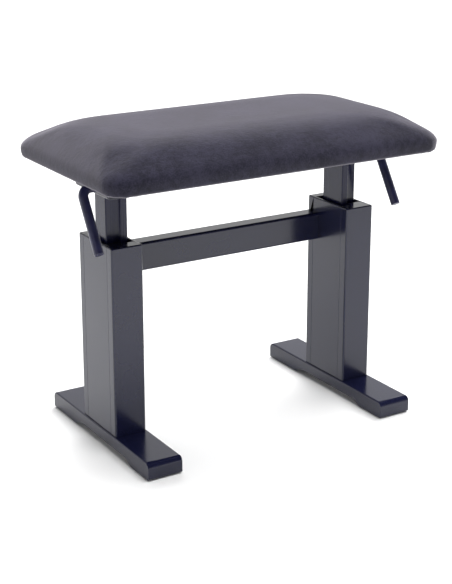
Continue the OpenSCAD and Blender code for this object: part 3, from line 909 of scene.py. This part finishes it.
@dataclass
class Cushion:
    """The crowned velvet cover over its foam: drawn tight, wrapped under and stapled."""

    voxel_mm: float = 4.0
    foam_shy_mm: float = 6.0
    band_mm: float = 15.0
    swell_mm: float = 22.0
    settle: int = 30
    cap_mm: float = 3.0
    corner_mm: float = 33.0
    corner_grow_mm: float = 50.0
    corner_steps: int = 48
    belly: float = 0.35
    under_mm: float = 3.0
    crown_mm: float = 96.0
    crown_power: float = 1.5
    side_power: float = 0.45
    levels: tuple[float, ...] = (0.0, 0.12, 0.35, 0.5, 0.62, 0.73, 0.82, 0.9, 0.96, 1.0)
    level_smoothing: int = 2
    smoothing: float = 0.5
    hem_mm: float = 30.0
    cover_mm: float = 1.2
    cover_crease: float = 70.0
    pleat_mm: float = 1.3
    pleats: int = 9
    pleat_zone_mm: float = 2.0
    pleat_rise: float = 1.6
    pleat_end: float = 1.02
    pleat_fade: float = 6.0
    underside: float = -0.8
    level_underside: float = -0.95
    pressure: float = 4.0
    cloth_quality: int = 4
    cloth_mass: float = 0.25
    cloth_stiffness: float = 25.0
    last_frame: int = 20

    def inset(self, share: float) -> float:
        """Gives the side's profile, from the hem over the belly to the crown.

        Args:
            share: Share of the cushion's height.

        Returns:
            How far the side is inside the widest outline there, in metres.
        """
        if share < self.belly:
            return self.under_mm * (1 - share / self.belly) ** 2 * MM
        up = (share - self.belly) / (1 - self.belly)
        return self.crown_mm * (1 - (1 - up**self.crown_power) ** self.side_power) * MM

    def build(self) -> None:
        """Builds the foam and its cover."""
        self.foam()
        low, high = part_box("seat_cover")
        piece = self.blank(low, high)
        self.inflate(piece, low)
        self.settle_crown(piece, low)
        shape = bmesh.new()
        shape.from_mesh(piece.data)
        bpy.data.objects.remove(piece)
        self.open_underside(shape, low, high)
        self.pleat(shape, low, high)
        crease = self.cover_crease
        cover = publish(shape, "velvet_cover", Body.SEAT, "velvet", ["seat_cover"], crease=crease)
        cloth = cover.modifiers.new("Cloth thickness", "SOLIDIFY")
        cloth.thickness = self.cover_mm * MM
        cloth.offset = -1.0

    def foam(self) -> None:
        """Presses the foam in under the tight cover, so that it stays inside it everywhere."""
        shape = cad_copy("seat_foam")
        low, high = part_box("seat_foam")
        for vert in shape.verts:
            share = (vert.co.z - low.z) / (high.z - low.z)
            sideways = Vector((vert.co.x / high.x, vert.co.y / high.y, share))
            vert.co -= sideways * self.foam_shy_mm * MM
        foam = publish(shape, "pressed_foam", Body.SEAT, "foam", ["seat_foam"])

    def blank(self, low: Vector, high: Vector) -> bpy.types.Object:
        """Wraps a skin round the outlines at each level and remeshes it evenly.

        Args:
            low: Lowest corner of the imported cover.
            high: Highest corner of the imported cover.

        Returns:
            The skin, as a scratch object.
        """
        shape = bmesh.new()
        centre, half, rise = (low + high) / 2, (high - low) / 2, high.z - low.z
        for share in self.levels:
            inset = self.inset(share)
            grown = self.corner_grow_mm * max(0.0, share - self.belly) * MM
            radius = self.corner_mm * MM + grown - (inset if share < self.belly else 0.0)
            for x in (-1, 1):
                for y in (-1, 1):
                    at = (
                        centre.x + x * (half.x - inset - radius),
                        centre.y + y * (half.y - inset - radius),
                        low.z + share * rise,
                    )
                    corner = Matrix.Translation(at)
                    steps = self.corner_steps
                    bmesh.ops.create_circle(shape, radius=radius, segments=steps, matrix=corner)
        bmesh.ops.convex_hull(shape, input=shape.verts[:])
        bmesh.ops.delete(shape, geom=[v for v in shape.verts if not v.link_faces], context="VERTS")
        mesh = bpy.data.meshes.new("cushion_blank")
        shape.to_mesh(mesh)
        shape.free()
        piece = bpy.data.objects.new("cushion_blank", mesh)
        bpy.context.scene.collection.objects.link(piece)
        even = piece.modifiers.new("Even mesh", "REMESH")
        even.mode = "VOXEL"
        even.voxel_size = self.voxel_mm * MM
        smooth = piece.modifiers.new("Soft levels", "SMOOTH")
        smooth.factor = self.smoothing
        smooth.iterations = self.level_smoothing
        self.bake(piece)
        return piece

    @staticmethod
    def bake(piece: bpy.types.Object) -> None:
        """Applies every modifier of a piece to its mesh.

        Args:
            piece: The scratch object, which is changed.
        """
        bpy.context.view_layer.update()
        ready = piece.evaluated_get(bpy.context.evaluated_depsgraph_get())
        made = bpy.data.meshes.new_from_object(ready)
        piece.modifiers.clear()
        piece.data = made

    def inflate(self, piece: bpy.types.Object, low: Vector) -> None:
        """Blows the cover up against its stapled hem, and keeps each point near its start.

        Args:
            piece: The remeshed blank, which is changed.
            low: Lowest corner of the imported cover.
        """
        start = [v.co.copy() for v in piece.data.vertices]
        hem_top = low.z + 0.5 * self.voxel_mm * MM
        hem = piece.vertex_groups.new(name="hem")
        hem.add([i for i, co in enumerate(start) if co.z < hem_top], 1.0, "ADD")
        cloth = piece.modifiers.new("Cloth", "CLOTH")
        cloth.settings.quality = self.cloth_quality
        cloth.settings.mass = self.cloth_mass
        cloth.settings.tension_stiffness = self.cloth_stiffness
        cloth.settings.compression_stiffness = self.cloth_stiffness
        cloth.settings.use_pressure = True
        cloth.settings.uniform_pressure_force = self.pressure
        cloth.settings.vertex_group_mass = hem.name
        cloth.settings.effector_weights.gravity = 0.0
        cloth.point_cache.frame_start = 1
        cloth.point_cache.frame_end = self.last_frame
        for step in range(1, self.last_frame + 1):
            bpy.context.scene.frame_set(step)
        ready = piece.evaluated_get(bpy.context.evaluated_depsgraph_get())
        blown = [v.co.copy() for v in ready.data.vertices]
        piece.modifiers.clear()
        for vert, was, now in zip(piece.data.vertices, start, blown):
            move = now - was
            kept = min(1.0, self.cap_mm * MM / move.length) if move.length else 1.0
            vert.co = was + move * self.softness(was, low) * kept
        bpy.context.scene.frame_set(1)

    def softness(self, place: Vector, low: Vector) -> float:
        """How freely the cover moves: 0 along the board's edge, and 1 over the crown."""
        return min(1.0, max(0.0, (place.z - low.z) / MM - self.band_mm) / self.swell_mm)

    def settle_crown(self, piece: bpy.types.Object, low: Vector) -> None:
        """Softens the crown, and leaves the band round the board's edge as it is.

        Args:
            piece: The blown cover, which is changed.
            low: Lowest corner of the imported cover.
        """
        crown = piece.vertex_groups.new(name="crown")
        for vert in piece.data.vertices:
            crown.add([vert.index], self.softness(vert.co, low), "REPLACE")
        settled = piece.modifiers.new("Settled", "SMOOTH")
        settled.factor = self.smoothing
        settled.iterations = self.settle
        settled.vertex_group = crown.name
        self.bake(piece)

    def open_underside(self, shape: bmesh.types.BMesh, low: Vector, high: Vector) -> None:
        """Cuts the underside out inside the hem, where the dust cloth shows.

        Args:
            shape: The cover, which is changed.
            low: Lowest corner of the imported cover.
            high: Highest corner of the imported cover.
        """
        hem = self.hem_mm * MM
        cuts = [
            ((low.x + hem, 0, 0), (1, 0, 0)),
            ((high.x - hem, 0, 0), (1, 0, 0)),
            ((0, low.y + hem, 0), (0, 1, 0)),
            ((0, high.y - hem, 0), (0, 1, 0)),
        ]
        level = low.z + self.voxel_mm * MM

        def below(face: bmesh.types.BMFace) -> bool:
            """Whether a face belongs to the underside."""
            return face.calc_center_median().z < level and face.normal.z < self.underside

        for point, normal in cuts:
            under = [f for f in shape.faces if below(f)]
            geom = set(under) | {e for f in under for e in f.edges} | {v for f in under for v in f.verts}
            bmesh.ops.bisect_plane(shape, geom=list(geom), plane_co=point, plane_no=normal)
        gone = []
        for face in shape.faces:
            at = face.calc_center_median()
            inside = low.x + hem < at.x < high.x - hem and low.y + hem < at.y < high.y - hem
            if inside and below(face):
                gone.append(face)
        bmesh.ops.delete(shape, geom=gone, context="FACES")
        hem_top = low.z + 0.6 * self.voxel_mm * MM
        for vert in shape.verts:
            if vert.co.z < hem_top and vert.normal.z < self.level_underside:
                vert.co.z = low.z

    def pleat(self, shape: bmesh.types.BMesh, low: Vector, high: Vector) -> None:
        """Gathers the hem into small radial folds under the four corners.

        Args:
            shape: The cover, which is changed.
            low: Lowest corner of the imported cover.
            high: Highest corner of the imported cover.
        """
        reach = (self.corner_mm + self.hem_mm / 2) * MM
        centre, half = (low + high) / 2, (high - low) / 2
        for vert in shape.verts:
            x = abs(vert.co.x - centre.x) - (half.x - reach)
            y = abs(vert.co.y - centre.y) - (half.y - reach)
            if vert.co.z > low.z + self.pleat_zone_mm * MM or x <= 0 or y <= 0:
                continue
            angle = math.atan2(y, x)
            away = math.hypot(x, y) / reach
            start = min(1.0, away * self.pleat_rise)
            end = max(0.0, min(1.0, (self.pleat_end - away) * self.pleat_fade))
            fold = (0.5 + 0.5 * math.cos(2 * self.pleats * angle)) ** 2
            vert.co.z -= self.pleat_mm * MM * max(0.0, math.sin(2 * angle)) * start * end * fold


@dataclass
class DustCloth:
    """The thin black cloth that closes the seat's underside."""

    ripple_mm: float = 0.25
    cell_mm: float = 5.0
    ripple_size_mm: float = 28.0
    cloth_mm: float = 0.35

    def build(self) -> None:
        """Lays a grid between the seat board and the brackets and lets it ripple slightly."""
        low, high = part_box("dust_cover")
        size = high - low
        shape = bmesh.new()
        bmesh.ops.create_grid(
            shape,
            x_segments=round(size.x / (self.cell_mm * MM)),
            y_segments=round(size.y / (self.cell_mm * MM)),
            size=0.5,
        )
        bmesh.ops.scale(shape, verts=shape.verts[:], vec=(size.x, size.y, 1.0))
        middle = (low + high) / 2
        for vert in shape.verts:
            wave = noise.noise(Vector((vert.co.x, vert.co.y, 0.0)) / (self.ripple_size_mm * MM))
            vert.co.z = middle.z + self.ripple_mm * MM * wave
        bmesh.ops.reverse_faces(shape, faces=shape.faces[:])
        cloth = publish(shape, "dust_cloth", Body.SEAT, "cambric", ["dust_cover"])
        thick = cloth.modifiers.new("Cloth thickness", "SOLIDIFY")
        thick.thickness = self.cloth_mm * MM
        thick.offset = 0.0


@dataclass
class Workings:
    """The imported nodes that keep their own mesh, inside the columns and under the seat."""

    slots: dict[str, str] = field(
        default_factory=lambda: {p["node"]: p["material_slot"] for p in frame["record"]["subparts"]}
    )

    def build(self) -> None:
        """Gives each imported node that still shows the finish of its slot."""
        for name, node in frame["nodes"].items():
            if node.hide_render:
                continue
            finish = FINISHES[self.slots[name]]
            node.data.materials.clear()
            node.data.materials.append(finish.material())
            log.info("%s: packed node, finish %s", name, finish.label)


# ---- Studio ----


@dataclass(frozen=True)
class Softbox:
    """A square studio light, with its size in metres and its power in watts."""

    name: str
    place: tuple[float, float, float]
    aim: tuple[float, float, float]
    size: float
    power: float
    mirrored: bool = False

    def hang(self) -> None:
        """Hangs the light and points it at its aim."""
        light = bpy.data.lights.new(self.name, "AREA")
        light.size = self.size
        light.energy = self.power
        lamp = bpy.data.objects.new(self.name, light)
        bpy.context.scene.collection.objects.link(lamp)
        lamp.location = self.place
        lamp.rotation_euler = (Vector(self.aim) - Vector(self.place)).to_track_quat("-Z", "Y").to_euler()
        lamp.visible_glossy = self.mirrored


@dataclass
class Studio:
    """A pale floor and walls under soft lights, and a standing viewer's camera.

    Places are in metres, angles in degrees and the lens in millimetres.
    """

    floor_colour: str = "#EDEDED"
    wall_colour: str = "#FFFFFF"
    floor_size: float = 60.0
    wall_light: float = 1.05
    ceiling_light: float = 0.08
    wall_lean: tuple[float, float, float] = (-0.20, -0.33, 1.0)
    wall_top: tuple[float, float] = (0.22, 0.55)
    sun_tilt: tuple[float, float] = (28.0, -40.0)
    sun_angle: float = 60.0
    sun_power: float = 5.2
    eye: tuple[float, float, float] = (-1.0382, -1.6692, 0.8594)
    heading: float = -31.67
    pitch: float = -16.22
    lens: float = 84.16
    rise: float = -0.1027
    boxes: tuple[Softbox, ...] = (
        Softbox("front_softbox", (0.2, -0.9, 1.9), (0.1, -0.35, 0.0), 1.2, 30.0),
        Softbox("left_softbox", (-1.9, -1.2, 0.9), (0.0, 0.0, 0.25), 0.5, 6.0, True),
    )

    def build(self) -> None:
        """Sets up the floor, the light and the camera."""
        self.floor()
        self.world()
        self.lights()
        self.camera()
        scene = bpy.context.scene
        scene.view_settings.view_transform = "Standard"
        scene.view_settings.look = "None"

    def floor(self) -> None:
        """Lays a pale matt floor that reaches the horizon."""
        shape = bmesh.new()
        bmesh.ops.create_grid(shape, x_segments=1, y_segments=1, size=self.floor_size / 2)
        mesh = bpy.data.meshes.new("studio_floor")
        shape.to_mesh(mesh)
        shape.free()
        floor = bpy.data.objects.new("studio_floor", mesh)
        bpy.context.scene.collection.objects.link(floor)
        material = bpy.data.materials.new("matt_studio_floor")
        material.use_nodes = True
        tree = material.node_tree
        tree.nodes.clear()
        matt = add_node(tree, "ShaderNodeBsdfDiffuse", inputs={"Color": linear(self.floor_colour)})
        add_node(tree, "ShaderNodeOutputMaterial", inputs={"Surface": matt.outputs["BSDF"]})
        mesh.materials.append(material)

    def world(self) -> None:
        """Lights the scene from pale walls all round, higher behind the bench, under a dark ceiling."""
        world = bpy.data.worlds.new("studio_walls")
        bpy.context.scene.world = world
        world.use_nodes = True
        tree = world.node_tree
        tree.nodes.clear()
        way = add_node(tree, "ShaderNodeTexCoord").outputs["Generated"]
        inputs = {0: way, 1: self.wall_lean}
        lean = add_node(tree, "ShaderNodeVectorMath", {"operation": "DOT_PRODUCT"}, inputs)
        inputs = {"Value": lean.outputs["Value"]}
        inputs |= {"From Min": self.wall_top[0], "From Max": self.wall_top[1]}
        inputs |= {"To Min": self.wall_light, "To Max": self.ceiling_light}
        glow = add_node(tree, "ShaderNodeMapRange", {"interpolation_type": "SMOOTHSTEP"}, inputs)
        inputs = {"Color": linear(self.wall_colour), "Strength": glow.outputs["Result"]}
        light = add_node(tree, "ShaderNodeBackground", inputs=inputs)
        add_node(tree, "ShaderNodeOutputWorld", inputs={"Surface": light.outputs["Background"]})

    def lights(self) -> None:
        """Hangs the softboxes and a wide overhead light that comes from the back right."""
        for box in self.boxes:
            box.hang()
        light = bpy.data.lights.new("overhead", "SUN")
        light.energy = self.sun_power
        light.angle = math.radians(self.sun_angle)
        lamp = bpy.data.objects.new("overhead", light)
        bpy.context.scene.collection.objects.link(lamp)
        tilt, turn = (math.radians(a) for a in self.sun_tilt)
        lamp.rotation_euler = (tilt, 0.0, turn + math.pi)
        lamp.visible_glossy = False

    def camera(self) -> None:
        """Stands the camera at the front left, above the seat."""
        data = bpy.data.cameras.new("viewer")
        data.lens = self.lens
        data.shift_y = self.rise
        viewer = bpy.data.objects.new("viewer", data)
        bpy.context.scene.collection.objects.link(viewer)
        viewer.location = self.eye
        viewer.rotation_euler = (math.radians(90 + self.pitch), 0.0, math.radians(self.heading))
        bpy.context.scene.camera = viewer


def main() -> None:
    """Builds the bench from the floor up, then the studio."""
    logging.basicConfig(level=logging.INFO, format="%(name)s: %(message)s")
    Base().build()
    Lift().build()
    for side in Side:
        Lever(side).build()
    Cushion().build()
    DustCloth().build()
    Workings().build()
    Studio().build()


if __name__ == "__main__":
    main()
